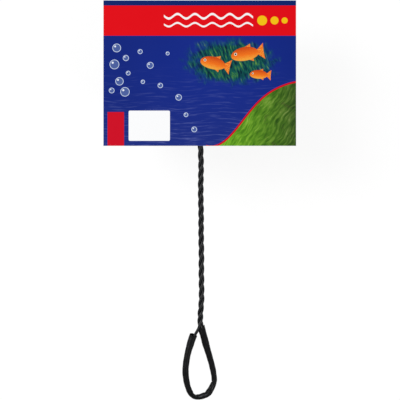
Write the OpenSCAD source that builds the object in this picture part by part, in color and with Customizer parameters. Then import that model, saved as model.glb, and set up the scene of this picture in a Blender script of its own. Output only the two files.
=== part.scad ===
// Aquarium fish net: a twisted wire shaft with a sleeved grip loop, a rectangular
// wire frame, a hemmed netting bag and the folded retail card that lies over its mouth.
// The origin is the inner end of the grip loop, where a hook or a finger bears.
// +Y runs from the grip loop to the net, and the bag hangs towards -Z.

/* [Frame] */
// Width of the wire frame, over the wire
frame_w = 200; // [160:1:260]
// Length of the wire frame from the shaft side to the far side, over the wire
frame_l = 152; // [120:1:200]
// Radius of the frame's corners, at the centre of the wire
frame_corner_r = 15; // [12:0.5:20]

/* [Wire] */
// Diameter of the coated wire
wire_d = 2.7; // [2.4:0.1:2.8]
// Radius at which the wires turn from the shaft into the frame
wire_bend_r = 4.5; // [4:0.1:7]

/* [Shaft] */
// Length of the twist, from the grip loop to where the wires part
shaft_l = 197.5; // [120:0.5:300]
// Whole turns of the twist
twist_turns = 6; // [5:1:7]

/* [Grip loop] */
// Length of the grip loop, from its inner end to the twist
loop_l = 73; // [66:1:85]
// Width of the grip loop, between the centres of its two sides
loop_w = 31.2; // [29:0.2:38]
// Outer diameter of the sleeve where nothing stretches it
sleeve_d = 6.5; // [6.1:0.1:7.2]
// Wall of the sleeve
sleeve_wall = 0.75; // [0.5:0.05:0.8]

/* [Bag] */
// Depth of the bag below the wire
bag_depth = 130; // [90:1:160]
// Lean of the bag's walls from upright, in degrees
wall_lean = 14; // [8:0.5:16]
// Thickness of the netting
net_t = 0.8; // [0.6:0.1:1]
// Radius of the bag's corners towards its bottom
bag_corner_r = 4; // [3:0.5:6]

/* [Hem] */
// Radius of the hem over the wire
hem_r = 2.7; // [2.5:0.1:2.9]
// Reach of the hem below the centre of the wire
hem_drop = 9; // [6:0.5:14]
// Thickness of the hem tape on each side of the netting
tape_t = 0.8; // [0.5:0.1:1]

/* [Card] */
// Thickness of the card
card_t = 0.45; // [0.3:0.05:0.6]
// Reach of the card past the frame on the left and on the right
card_side_lap = 5; // [3:0.5:12]
// Reach of the card past the wire's centre on the shaft side
card_near_lap = 4.6; // [3.2:0.1:4.8]
// Reach of the card past the wire's centre on the far side
card_far_lap = 4.9; // [4.7:0.1:6]
// Length of the flap behind the far wall
flap_l = 28; // [24:1:45]

/* [Hidden] */
$fn = 24;

// Colours
wire_colour = "#24262b";
sleeve_colour = "#1a1b1f";
hem_colour = "#2b2e31";
net_colour = "#3a4044";
seam_colour = "#17181a";
card_colour = "#25388f";
board_colour = "#d9d6cd";
steel_colour = "#b5b8bd";

// Clearance between soft pieces, and round what passes through them
soft_gap = 0.3;
// Clearance of the wire in the hem's fold
wire_fit = 0.15;
// Overrun of a cut past the face that it opens
cut_over = 1;

// Wire and frame
wire_r = wire_d / 2;
axis_hw = (frame_w - wire_d) / 2;
axis_hl = (frame_l - wire_d) / 2;
shaft_end_y = loop_l + shaft_l;
near_y = shaft_end_y + wire_bend_r;
far_y = near_y + 2 * axis_hl;
mid_y = near_y + axis_hl;

// Twist: the wires lie round the shaft's centre, a little apart because they slope, and
// they stand off more where the twist is tighter than usual. The slope is the way round a
// wire's own radius for each length along the shaft
lay_spread_share = 1.25;
lay_tight_share = 0.12;
usual_slope = 0.2577;
lay_slope = 2 * PI * wire_r * twist_turns / shaft_l;
tight_off = wire_r * lay_tight_share * max(0, lay_slope / usual_slope - 1);
lay_r = wire_r * lay_spread_share + tight_off;
// Turn of the returning wire where the twist starts and where it ends
lay_start_turn = 141.75;
lay_end_turn = 79.9;
lay_turn = 360 * twist_turns + lay_start_turn - lay_end_turn;
strand_sides = 8;
rings_per_turn = 13;
strand_rings = ceil(rings_per_turn * lay_turn / 360);

// Places of the wires across the shaft where they part at the frame, as shares of the wire's radius
part_x_share = 1.17;
part_z_share = -0.5;
// Lengths over which the wires leave the regular lay at the loop and at the frame, as
// shares of the wire's diameter
loop_ease_share = 2.5;
part_ease_share = 1.5;
loop_ease_l = loop_ease_share * wire_d;
part_ease_l = part_ease_share * wire_d;
// The returning wire ends this far past the twist, as a share of the bend
return_past_share = 0.45;

// Grip loop: centre line from the right of the junction round to the left, as shares of
// the loop's width and of its length
loop_shares = [
    [0.038, 0.983], [0.103, 0.893], [0.161, 0.804], [0.215, 0.719], [0.327, 0.565],
    [0.432, 0.402], [0.484, 0.272], [0.477, 0.200], [0.381, 0.109], [0.261, 0.038],
    [0.059, -0.001], [-0.081, -0.012], [-0.210, -0.005], [-0.339, 0.045],
    [-0.430, 0.129], [-0.493, 0.244], [-0.518, 0.370], [-0.486, 0.507],
    [-0.427, 0.634], [-0.364, 0.726], [-0.304, 0.810], [-0.245, 0.888]];
// Width of the sleeve in the plane of the loop at each of those points, as a share of its
// diameter, and its height square to that plane
sleeve_width_shares = [1.14, 1.13, 1.13, 1.06, 0.96, 0.92, 0.86, 0.85, 0.98, 1.00, 0.92,
    0.83, 0.78, 0.89, 0.90, 0.98, 1.00, 1.00, 1.00, 1.08, 1.14, 1.17];
sleeve_height_shares = [1.14, 1.13, 1.13, 1.06, 1.04, 1.06, 1.12, 1.13, 1.03, 1.01, 1.06,
    1.14, 1.18, 1.10, 1.09, 1.02, 1.00, 1.00, 1.00, 0.94, 0.90, 0.88];
// The lowest of those points
loop_low_knot = 11;
// The sleeve's right end is cut at a slant, clear of the returning wire: lean in degrees
sleeve_cut_lean = 30;
// Points worked out between two shares of the loop
loop_steps = 3;
sleeve_sides = 12;
// The tail of the left wire ends at this share of the loop's length
tail_end_share = 0.835;

// Hem and bag
hem_bore_r = wire_r + wire_fit;
slot_t = net_t + 2 * soft_gap;
leg_t = slot_t + 2 * tape_t;
hem_gap_hw = wire_bend_r + wire_r * part_x_share + soft_gap;
net_top_z = -(hem_bore_r + soft_gap);
bag_turn_z = -(frame_corner_r - bag_corner_r) / tan(wall_lean);
corner_steps = 3;
// Seam: a sewn ridge outside each corner of the bag
seam_r = 0.9;
seam_sides = 6;
seam_out = net_t / 2 + soft_gap + seam_r;
seam_top_z = -(hem_drop + soft_gap + seam_r);
seam_levels = 2;
// Cut between two sewn panels, at the middle of their corner
panel_gap = soft_gap / 2;
// Openings of the netting: a plain grid whose bars keep to the panel's taper
mesh_bar = 2.4;
mesh_top_z = -(hem_drop + mesh_bar);
mesh_rows = 6;
mesh_cols_wide = 10;
mesh_cols_narrow = 7;

// Card: it lies on the ends of the twist, and folds down behind the far bar
card_z = lay_r + wire_r + soft_gap;
card_near_y = near_y - card_near_lap;
card_far_y = far_y + card_far_lap;
card_w = frame_w + 2 * card_side_lap;
// The card lies this far off the shaft's centre, as in the photograph
card_shift = -0.6;
fold_z = card_z + card_t / 2;
fold_clear = 0.35;
// Distance of a place beside the far bar from the middle of the far wall
fold_off = (card_far_y - far_y) * cos(wall_lean) - fold_z * sin(wall_lean);
flap_end_off = (net_t + card_t) / 2 + soft_gap;
flap_lean = wall_lean + asin((fold_off - flap_end_off) / flap_l);
flap_low_z = fold_z - flap_l * cos(flap_lean);
// Staples of square wire through the flap and the netting
staple_t = 0.6;
staple_w = 11;
staple_leg = 3;
staple_up = 6;
staple_place_share = 0.32;

function unit(v) = v / norm(v);
function mix(a, b, t) = a + (b - a) * t;
function ease(t) = let (c = min(1, max(0, t))) c * c * (3 - 2 * c);

// Direction of a path at point i, with the directions given for its ends
function path_dir(path, i, first, last) =
    i == 0 ? first :
    i == len(path) - 1 ? last :
    unit(path[i + 1] - path[i - 1]);

// Ring of n points round a centre: across lies in the plane square to up, rise along up
function ring(centre, dir, across, rise, n, up) =
    let (side = unit(cross(dir, up)), lift = cross(side, dir))
    [for (i = [0:n - 1]) let (a = 360 * (i + 0.5) / n)
        centre + across * cos(a) * side + rise * sin(a) * lift];

// Triangles of the side of a tube whose rings start at point base
function side_faces(rings, n, base, outward) =
    [for (i = [0:rings - 2], j = [0:n - 1], half = [0, 1])
        let (a = base + i * n + j, b = base + i * n + (j + 1) % n,
            tri = half == 0 ? [a, b, b + n] : [a, b + n, a + n])
        outward ? tri : [tri[2], tri[1], tri[0]]];

// Solid rod of round section along a path
module rod(path, r, n, first, last, up = [0, 0, 1]) {
    rings = len(path);
    end = (rings - 1) * n;
    polyhedron(
        points = [for (i = [0:rings - 1])
            each ring(path[i], path_dir(path, i, first, last), r, r, n, up)],
        faces = concat(
            side_faces(rings, n, 0, true),
            [for (j = [1:n - 2]) [0, j + 1, j]],
            [for (j = [1:n - 2]) [end, end + j, end + j + 1]]));
}

// Direction turned about Z
function turned(d, a) = [d[0] * cos(a) - d[1] * sin(a), d[0] * sin(a) + d[1] * cos(a), d[2]];

// Open tube along a path, with a half width, a half height and a lean at each ring
module sleeve_tube(path, across, rise, leans, wall, n, first, last) {
    rings = len(path);
    inner = rings * n;
    end = (rings - 1) * n;
    polyhedron(
        points = [for (w = [0, wall], i = [0:rings - 1])
            each ring(path[i], turned(path_dir(path, i, first, last), leans[i]),
                (across[i] - w) / cos(leans[i]), rise[i] - w, n, [0, 0, 1])],
        faces = concat(
            side_faces(rings, n, 0, true),
            side_faces(rings, n, inner, false),
            [for (j = [0:n - 1], half = [0, 1]) let (k = (j + 1) % n)
                half == 0 ? [k, j, inner + j] : [k, inner + j, inner + k]],
            [for (j = [0:n - 1], half = [0, 1]) let (k = (j + 1) % n, a = end, b = inner + end)
                half == 0 ? [a + j, a + k, b + k] : [a + j, b + k, b + j]]));
}

// Sheet of even thickness between an outer and an inner grid of points, rows downwards
module sheet(outer, inner) {
    rows = len(outer);
    cols = len(outer[0]);
    back = rows * cols;
    last = (rows - 1) * cols;
    quads = concat(
        [for (r = [0:rows - 2], c = [0:cols - 2]) let (a = r * cols + c)
            [a, a + 1, a + cols + 1, a + cols]],
        [for (r = [0:rows - 2], c = [0:cols - 2]) let (a = back + r * cols + c)
            [a + cols, a + cols + 1, a + 1, a]],
        [for (c = [0:cols - 2]) [back + c, back + c + 1, c + 1, c]],
        [for (c = [0:cols - 2]) [last + c, last + c + 1, back + last + c + 1, back + last + c]],
        [for (r = [0:rows - 2]) let (a = r * cols) [back + a, a, a + cols, back + a + cols]],
        [for (r = [0:rows - 2]) let (a = r * cols + cols - 1)
            [a, back + a, back + a + cols, a + cols]]);
    polyhedron(
        points = [for (grid = [outer, inner], row = grid) each row],
        faces = [for (q = quads, half = [0, 1])
            half == 0 ? [q[0], q[1], q[2]] : [q[0], q[2], q[3]]]);
}

// Regular lay: wire k of the three at height y along the shaft
function lay_point(k, y) =
    let (a = lay_start_turn + 120 * k - lay_turn * (y - loop_l) / shaft_l)
    [lay_r * cos(a), y, lay_r * sin(a)];

// Centre line of the grip loop, smooth through its points
function loop_low_y() = -sleeve_d * sleeve_width_shares[loop_low_knot] / 2;
function loop_knot(i) =
    let (s = loop_shares[min(len(loop_shares) - 1, max(0, i))])
    [s[0] * loop_w, mix(loop_low_y(), loop_l, s[1]), 0];
function smooth_at(p0, p1, p2, p3, t) =
    p1 + (p2 - p0) * t / 2 + (2 * p0 - 5 * p1 + 4 * p2 - p3) * t * t / 2
    + (3 * p1 - p0 - 3 * p2 + p3) * t * t * t / 2;
loop_rings = (len(loop_shares) - 1) * loop_steps;
function loop_at(i) =
    let (k = min(len(loop_shares) - 2, floor(i / loop_steps)), t = i / loop_steps - k)
    smooth_at(loop_knot(k - 1), loop_knot(k), loop_knot(k + 1), loop_knot(k + 2), t);
loop_path = [for (i = [0:loop_rings]) loop_at(i)];
// The two wires in the right end of the sleeve lie this far from its centre, and stretch
// the sleeve there where it would be too tight for them
pair_r = wire_r + soft_gap / 4 + tight_off;
pair_sleeve_r = (pair_r + wire_r) / cos(180 / sleeve_sides) + sleeve_wall + soft_gap / 8;
pair_last_knot = 2;
function sleeve_half(shares, k) =
    let (half = shares[k] * sleeve_d / 2)
    k <= pair_last_knot ? max(half, pair_sleeve_r) : half;
function sleeve_half_at(shares, i) =
    let (k = min(len(shares) - 2, floor(i / loop_steps)), t = i / loop_steps - k)
    mix(sleeve_half(shares, k), sleeve_half(shares, k + 1), ease(t));
sleeve_across = [for (i = [0:loop_rings]) sleeve_half_at(sleeve_width_shares, i)];
sleeve_rise = [for (i = [0:loop_rings]) sleeve_half_at(sleeve_height_shares, i)];
// Each ring of the sleeve leans as the cut does at the right end, and less away from it
sleeve_leans = [for (i = [0:loop_rings]) sleeve_cut_lean * ease(1 - i / loop_steps)];
loop_first_dir = unit(loop_path[1] - loop_path[0]);
loop_last_dir = unit(loop_path[loop_rings] - loop_path[loop_rings - 1]);

// Side of the loop's centre line that faces its inside
function inward(i) =
    let (d = path_dir(loop_path, i, loop_first_dir, loop_last_dir)) cross(d, [0, 0, 1]);

// The two wires in the right end of the sleeve turn round each other as the twist does
function loop_x_at(y) =
    let (t = (y - loop_path[0][1]) / (loop_path[0][1] - loop_path[1][1]))
    loop_path[0][0] + t * (loop_path[0][0] - loop_path[1][0]);
function pair_point(k, y) =
    let (turn = lay_start_turn - 90 - lay_turn * (y - loop_l) / shaft_l + 180 * (k - 2),
        x = y > loop_path[0][1] ? loop_x_at(y) : lookup_x(y))
    [x + pair_r * cos(turn), y, pair_r * sin(turn)];
// Across place of the loop's right side at a height
function lookup_x(y) =
    let (near = [for (i = [0:4 * loop_steps]) if (loop_path[i][1] >= y) i],
        i = near[len(near) - 1],
        t = (y - loop_path[i][1]) / (loop_path[i + 1][1] - loop_path[i][1]))
    mix(loop_path[i][0], loop_path[i + 1][0], t);

// Start of the loop wire on the right, inside the sleeve, and its end at the left mouth
join_y = mix(loop_low_y(), loop_l, tail_end_share);
wire_offset = [for (i = [0:loop_rings])
    sleeve_across[i] - sleeve_wall - wire_r - soft_gap];
loop_wire_from = 3 * loop_steps;
loop_wire_mid = [for (i = [loop_wire_from:loop_rings]) loop_path[i] + wire_offset[i] * inward(i)];
// Bare wire between the left mouth and the twist
mouth_point = loop_wire_mid[len(loop_wire_mid) - 1];
loop_left_aim = [-wire_r / 4, loop_l + wire_r, 1.5 * wire_r];
function bare_point(y) =
    let (t = (y - mouth_point[1]) / (loop_left_aim[1] - mouth_point[1]))
    mix(mouth_point, loop_left_aim, t);

// Height along the shaft above which the lay is regular
ease_y = loop_l + loop_ease_l / 2;
function low_blend(k, y) =
    let (t = ease((ease_y - y) / loop_ease_l), goal = k == 0 ? bare_point(y) : pair_point(k, y))
    mix(lay_point(k, y), [goal[0], y, goal[2]], t);
// Wires 1 and 2 part to the left and to the right at the frame, and the returning wire 0
// ends on top, between them
function part_point(k) =
    k == 0 ? [0, shaft_end_y, lay_r] :
    [(k == 1 ? -1 : 1) * part_x_share * wire_r, shaft_end_y, part_z_share * wire_r];
function high_blend(k, y) =
    let (t = ease((y - shaft_end_y + part_ease_l) / part_ease_l), goal = part_point(k))
    mix(lay_point(k, y), [goal[0], y, goal[2]], t);
function strand_at(k, y) = y < ease_y ? low_blend(k, y) : high_blend(k, y);
function strand_points(k, from_y, to_y, steps) =
    [for (i = [0:steps]) strand_at(k, mix(from_y, to_y, i / steps))];
// Bend from the shaft into the near bar, side -1 to the left and 1 to the right
bend_steps = 5;
function bend_points(k, side) =
    let (p = part_point(k))
    [for (i = [1:bend_steps]) let (a = 90 * i / bend_steps)
        [p[0] + side * wire_bend_r * (1 - cos(a)), p[1] + wire_bend_r * sin(a),
            p[2] * (1 - ease(i / bend_steps))]];

left_path = concat(strand_points(1, join_y, shaft_end_y, strand_rings), bend_points(1, -1));
right_path = concat(strand_points(2, join_y, shaft_end_y, strand_rings), bend_points(2, 1));
return_path = concat([mouth_point],
    strand_points(0, mouth_point[1] + wire_d, shaft_end_y + return_past_share * wire_bend_r,
        strand_rings));
loop_wire_path = concat([right_path[0]], loop_wire_mid);
right_join_dir = unit(right_path[1] - loop_wire_path[1]);
left_join_dir = unit(return_path[1] - loop_wire_path[len(loop_wire_path) - 2]);

function start_dir(path) = unit(path[1] - path[0]);
function stop_dir(path) = unit(path[len(path) - 1] - path[len(path) - 2]);

// Least gap between two of the wires, measured on their centre lines
function near_gap(a, b) = min([for (p = a) min([for (q = b) norm(p - q)])]) - wire_d;
echo(least_wire_gap = [near_gap(left_path, right_path), near_gap(left_path, return_path),
    near_gap(right_path, return_path)]);

// Half sizes and corner radius of the bag's middle surface at height z
function bag_inset(z) = -z * tan(wall_lean);
function bag_radius(z) = max(bag_corner_r, frame_corner_r - bag_inset(z));

// Points of one wall at height z, offset outwards, from one corner's middle to the next
function wall_row(half_len, half_across, z, out) =
    let (r = bag_radius(z), len = half_len - bag_inset(z), away = half_across - bag_inset(z),
        stop = 45 - panel_gap / r * 180 / PI)
    [for (s = [-1, 1], i = [0:corner_steps])
        let (a = s < 0 ? -stop * (1 - i / corner_steps) : stop * i / corner_steps)
        [away - r + (r + out) * cos(a), s * (len - r) + (r + out) * sin(a), z]];

// Wall whose outward side faces +X before it is turned into place, with its netting open
// from open_z down
module wall(half_len, half_across, low_z, cols, rows, open_z) {
    out = net_t / 2 / cos(wall_lean);
    levels = [net_top_z, bag_turn_z, low_z];
    difference() {
        sheet([for (z = levels) wall_row(half_len, half_across, z, out)],
            [for (z = levels) wall_row(half_len, half_across, z, -out)]);
        translate([half_across - bag_inset(low_z) - out - cut_over, 0, 0])
            rotate([90, 0, 90]) linear_extrude(bag_inset(low_z) + 2 * (out + cut_over))
                wall_openings(half_len, low_z + mesh_bar, cols, rows, open_z);
    }
}

// Half width of a wall's flat part at height z
function flat_half(half_len, z) = half_len - bag_inset(z) - bag_radius(z);

module wall_openings(half_len, low_z, cols, rows, open_z) {
    for (r = [0:rows - 1]) {
        high = mix(open_z, low_z, r / rows) - mesh_bar / 2;
        low = mix(open_z, low_z, (r + 1) / rows) + mesh_bar / 2;
        for (c = [0:cols - 1]) {
            from = 2 * c / cols - 1;
            to = 2 * (c + 1) / cols - 1;
            polygon([
                [from * flat_half(half_len, high) + mesh_bar / 2, high],
                [from * flat_half(half_len, low) + mesh_bar / 2, low],
                [to * flat_half(half_len, low) - mesh_bar / 2, low],
                [to * flat_half(half_len, high) - mesh_bar / 2, high]]);
        }
    }
}

module in_mouth(turn) translate([0, mid_y, 0]) rotate([0, 0, turn]) children();

// Section of the hem: tape folded over the wire, with the netting between its two legs
module hem_section() {
    rotate(-wall_lean) difference() {
        union() {
            circle(r = hem_r);
            translate([-leg_t / 2, -hem_drop]) square([leg_t, hem_drop]);
        }
        circle(r = hem_bore_r);
        translate([-slot_t / 2, -hem_drop - cut_over])
            square([slot_t, hem_drop + cut_over]);
    }
}

// Straight run of hem centred on the wire, its outer side facing +X
module hem_run(length) {
    translate([0, length / 2, 0]) rotate([90, 0, 0]) linear_extrude(length) hem_section();
}

module hem_corner() {
    rotate_extrude(angle = 90) translate([frame_corner_r, 0]) hem_section();
}

run_w = 2 * (axis_hw - frame_corner_r);
run_l = 2 * (axis_hl - frame_corner_r);
near_run = run_w / 2 - hem_gap_hw;

module wire_run(length) {
    rotate([90, 0, 0]) translate([0, 0, -length / 2]) cylinder(h = length, d = wire_d);
}

module frame_wire() {
    lead = run_w / 2 - (wire_bend_r + part_x_share * wire_r);
    color(wire_colour) {
        for (s = [-1, 1]) {
            translate([s * axis_hw, mid_y, 0]) wire_run(run_l);
            translate([s * (run_w - lead) / 2, near_y, 0]) rotate([0, 0, 90]) wire_run(lead);
        }
        translate([0, far_y, 0]) rotate([0, 0, 90]) wire_run(run_w);
        corner_places() rotate_extrude(angle = 90) translate([frame_corner_r, 0])
            circle(d = wire_d);
    }
}

module corner_places() {
    for (q = [0:3]) {
        sx = q == 0 || q == 3 ? 1 : -1;
        sy = q < 2 ? 1 : -1;
        translate([sx * run_w / 2, mid_y + sy * run_l / 2, 0]) rotate([0, 0, 90 * q])
            children();
    }
}

module shaft_strand_left() {
    color(wire_colour)
        rod(left_path, wire_r, strand_sides, start_dir(left_path), [-1, 0, 0]);
}

module shaft_strand_right() {
    color(wire_colour)
        rod(right_path, wire_r, strand_sides, right_join_dir, [1, 0, 0]);
}

module shaft_strand_return() {
    color(wire_colour)
        rod(return_path, wire_r, strand_sides, left_join_dir, stop_dir(return_path));
}

module loop_wire() {
    color(wire_colour)
        rod(loop_wire_path, wire_r, strand_sides, -right_join_dir, left_join_dir);
}

module grip_sleeve() {
    color(sleeve_colour)
        sleeve_tube(loop_path, sleeve_across, sleeve_rise, sleeve_leans, sleeve_wall,
            sleeve_sides, loop_first_dir, loop_last_dir);
}

module hem_tape_far() {
    color(hem_colour) in_mouth(90) translate([axis_hl, 0, 0]) hem_run(run_w);
}

module hem_tape_left() {
    color(hem_colour) in_mouth(180) translate([axis_hw, 0, 0]) hem_run(run_l);
}

module hem_tape_right() {
    color(hem_colour) in_mouth(0) translate([axis_hw, 0, 0]) hem_run(run_l);
}

module near_hem(side) {
    color(hem_colour) in_mouth(-90)
        translate([axis_hl, side * (hem_gap_hw + near_run / 2), 0]) hem_run(near_run);
}

module hem_tape_near_left() near_hem(-1);

module hem_tape_near_right() near_hem(1);

module hem_corners() {
    color(hem_colour) corner_places() hem_corner();
}

wall_low_z = -bag_depth + net_t / 2 + soft_gap;

// The far wall stays whole behind the flap, where the staples hold it
module net_far_wall() {
    color(net_colour) in_mouth(90) wall(axis_hw, axis_hl, wall_low_z, mesh_cols_wide,
        mesh_rows - 1, min(mesh_top_z, flap_low_z - mesh_bar));
}

module net_near_wall() {
    color(net_colour) in_mouth(-90) wall(axis_hw, axis_hl, wall_low_z, mesh_cols_wide,
        mesh_rows, mesh_top_z);
}

module net_left_gusset() {
    color(net_colour) in_mouth(180) wall(axis_hl, axis_hw, wall_low_z, mesh_cols_narrow,
        mesh_rows, mesh_top_z);
}

module net_right_gusset() {
    color(net_colour) in_mouth(0) wall(axis_hl, axis_hw, wall_low_z, mesh_cols_narrow,
        mesh_rows, mesh_top_z);
}

module net_bottom() {
    half_w = axis_hw - bag_inset(-bag_depth) + net_t / 2;
    half_l = axis_hl - bag_inset(-bag_depth) + net_t / 2;
    r = bag_corner_r + net_t / 2;
    cell_w = 2 * (half_w - r) / mesh_cols_wide;
    cell_l = 2 * (half_l - r) / mesh_rows;
    color(net_colour) translate([0, mid_y, -bag_depth - net_t / 2]) linear_extrude(net_t)
        difference() {
            union() {
                square([2 * half_w, 2 * (half_l - r)], center = true);
                square([2 * (half_w - r), 2 * half_l], center = true);
                for (sx = [-1, 1], sy = [-1, 1])
                    translate([sx * (half_w - r), sy * (half_l - r)]) circle(r = r);
            }
            for (i = [0:mesh_cols_wide - 1], j = [0:mesh_rows - 1])
                translate([r - half_w + (i + 0.5) * cell_w, r - half_l + (j + 0.5) * cell_l])
                    square([cell_w - mesh_bar, cell_l - mesh_bar], center = true);
        }
}

// Middle of a corner of the bag at height z, offset outwards, on the +X side
function corner_point(sy, z, out) =
    let (r = bag_radius(z), reach = (r + out) * cos(45))
    [axis_hw - bag_inset(z) - r + reach, sy * (axis_hl - bag_inset(z) - r + reach), z];

// Ridge of a sewn seam: down one corner, along the bottom's edge and up the next corner
seam_low_z = -bag_depth - net_t / 2 - soft_gap;
seam_heights = concat(
    [for (i = [0:seam_levels - 1]) mix(seam_top_z, bag_turn_z, i / seam_levels)],
    [for (i = [0:seam_levels]) mix(bag_turn_z, seam_low_z + seam_r, i / seam_levels)]);
seam_low_x = axis_hw - bag_inset(seam_low_z) + seam_out + soft_gap;
seam_path = concat(
    [for (z = seam_heights) corner_point(-1, z, seam_out)],
    [for (s = [-1, 0, 1])
        [seam_low_x, s * (axis_hl - bag_inset(seam_low_z) - bag_corner_r), seam_low_z]],
    [for (i = [2 * seam_levels:-1:0]) corner_point(1, seam_heights[i], seam_out)]);

module seam() {
    rod(seam_path, seam_r, seam_sides, start_dir(seam_path), stop_dir(seam_path), [1, 0, 0]);
}

module seam_left() {
    color(seam_colour) in_mouth(180) seam();
}

module seam_right() {
    color(seam_colour) in_mouth(0) seam();
}

// Places on the flap, from the fold down its middle
module on_flap() {
    translate([card_shift, card_far_y, fold_z]) rotate([-flap_lean, 0, 0]) children();
}

module card_back_flap() {
    color(board_colour) on_flap()
        translate([-card_w / 2, -card_t / 2, -flap_l]) cube([card_w, card_t, flap_l - fold_clear]);
}

// Staple: a crown on the flap's face and two legs bent in behind the netting
module staple() {
    inner_w = staple_w - 2 * staple_t;
    foot_gap = inner_w / 3;
    back_y = card_t / 2 - staple_leg;
    translate([0, 0, -staple_t / 2]) linear_extrude(staple_t) difference() {
        translate([-staple_w / 2, back_y]) square([staple_w, staple_leg + staple_t]);
        translate([-inner_w / 2, back_y + staple_t]) square([inner_w, staple_leg - staple_t]);
        translate([-foot_gap / 2, back_y - cut_over])
            square([foot_gap, staple_t + 2 * cut_over]);
    }
}

module card_staples() {
    color(steel_colour) on_flap() for (s = [-1, 1])
        translate([s * card_w * staple_place_share, 0, staple_up - flap_l]) staple();
}

module header_card() {
    color(card_colour) translate([card_shift - card_w / 2, card_near_y, card_z])
        cube([card_w, card_far_y - card_near_y, card_t]);
}

frame_wire();
shaft_strand_left();
shaft_strand_right();
shaft_strand_return();
loop_wire();
grip_sleeve();
hem_tape_far();
hem_tape_left();
hem_tape_right();
hem_tape_near_left();
hem_tape_near_right();
hem_corners();
net_far_wall();
net_near_wall();
net_bottom();
net_left_gusset();
net_right_gusset();
seam_left();
seam_right();
card_back_flap();
card_staples();
header_card();
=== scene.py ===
import math

import bpy
import numpy as np
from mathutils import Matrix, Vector


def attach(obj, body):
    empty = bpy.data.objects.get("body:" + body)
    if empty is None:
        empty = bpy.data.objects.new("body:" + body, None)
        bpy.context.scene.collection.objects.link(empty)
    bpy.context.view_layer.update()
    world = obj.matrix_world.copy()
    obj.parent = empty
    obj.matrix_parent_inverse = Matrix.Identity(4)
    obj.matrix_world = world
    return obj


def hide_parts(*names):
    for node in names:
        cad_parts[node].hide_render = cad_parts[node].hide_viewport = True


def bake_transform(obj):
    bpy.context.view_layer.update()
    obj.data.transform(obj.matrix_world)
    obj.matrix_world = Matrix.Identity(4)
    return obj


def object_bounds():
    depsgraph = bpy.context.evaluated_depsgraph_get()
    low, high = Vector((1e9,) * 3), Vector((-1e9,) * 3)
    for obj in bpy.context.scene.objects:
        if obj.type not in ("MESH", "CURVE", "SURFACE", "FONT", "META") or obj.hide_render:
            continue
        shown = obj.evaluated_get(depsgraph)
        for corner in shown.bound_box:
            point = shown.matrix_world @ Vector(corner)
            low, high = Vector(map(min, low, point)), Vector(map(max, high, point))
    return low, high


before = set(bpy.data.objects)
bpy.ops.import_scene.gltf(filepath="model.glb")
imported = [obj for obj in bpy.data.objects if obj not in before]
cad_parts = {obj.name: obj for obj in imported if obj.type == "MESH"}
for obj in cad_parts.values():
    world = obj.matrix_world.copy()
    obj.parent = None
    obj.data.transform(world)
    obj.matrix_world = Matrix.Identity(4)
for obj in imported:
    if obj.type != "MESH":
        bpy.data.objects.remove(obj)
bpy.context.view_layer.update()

MM = 0.001
TO_MM = 1000.0

# Sizes of the part, in mm
WIRE_D = 2.7
WIRE_R = WIRE_D / 2
BEND_R = 4.5
LOOP_L, LOOP_W, SHAFT_L = 73.0, 31.2, 197.5
SLEEVE_D, SLEEVE_WALL = 6.5, 0.75
CORNER_R = 15.0
AXIS_HW, AXIS_HL = 98.65, 74.65
SHAFT_END = LOOP_L + SHAFT_L
MID_Y = SHAFT_END + BEND_R + AXIS_HL
LEAN = math.radians(14)
BAG_DEPTH, BAG_R = 130.0, 4.0
HEM_R, HEM_DROP, HEM_HALF, TAPE_T = 2.7, 9.0, 1.5, 0.55
LAY_R = WIRE_R * 1.25
# Half the way between the two wires where they part for the frame
PART_X = 1.17 * WIRE_R
# The coating swells a little between the bends
SHOWN_R, SHOWN_LAY = 1.46, 1.82
LAY_START, LAY_END, TURNS = 141.75, 79.9, 6
LAY_TURN = 360 * TURNS + LAY_START - LAY_END
CARD_W, CARD_T = 210.0, 0.45
CARD_X, CARD_NEAR_Y, CARD_FAR_Y, FOLD_Z = -0.6, 270.4, 429.2, 3.5625
FLAP_L, FOLD_R = 28.0, 0.85
FLAP_LEAN = math.radians(20.084)


# Meshes
def link(name, data):
    ob = bpy.data.objects.new(name, data)
    bpy.context.scene.collection.objects.link(ob)
    return ob


def make(name, verts, faces, mats, body, replaces=(), uv=None, mat_index=None):
    """A smooth piece from points in mm and faces; uv is one (u, v) in metres for each point."""
    mesh = bpy.data.meshes.new(name)
    mesh.from_pydata((verts * MM).tolist(), [], faces)
    for material in mats:
        mesh.materials.append(material)
    if mat_index is not None:
        mesh.polygons.foreach_set("material_index", np.asarray(mat_index, np.int32))
    if uv is not None:
        layer = mesh.uv_layers.new(name="UVMap")
        at = np.zeros(len(mesh.loops), np.int32)
        mesh.loops.foreach_get("vertex_index", at)
        layer.data.foreach_set("uv", np.asarray(uv, np.float32)[at].ravel())
    mesh.validate()
    mesh.polygons.foreach_set("use_smooth", [True] * len(mesh.polygons))
    mesh.update()
    ob = link(name, mesh)
    if body:
        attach(ob, body)
    if replaces:
        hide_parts(*replaces)
    return ob


def unit(v):
    return v / np.maximum(np.linalg.norm(v, axis=-1, keepdims=True), 1e-12)


def ease(t):
    t = np.clip(t, 0, 1)
    return t * t * (3 - 2 * t)


def directions(path):
    d = np.empty_like(path)
    d[1:-1] = path[2:] - path[:-2]
    d[0] = path[1] - path[0]
    d[-1] = path[-1] - path[-2]
    return unit(d)


def catmull(points, per):
    """A smooth line through the points, with per steps between two of them."""
    p = np.asarray(points, float)
    ext = np.vstack([2 * p[0] - p[1], p, 2 * p[-1] - p[-2]])
    t = (np.arange(per) / per)[:, None]
    out = []
    for i in range(len(p) - 1):
        a, b, c, d = ext[i:i + 4]
        out.append(0.5 * (2 * b + (c - a) * t + (2 * a - 5 * b + 4 * c - d) * t ** 2
                          + (3 * b - a - 3 * c + d) * t ** 3))
    out.append(p[-1:])
    return np.vstack(out)


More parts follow.
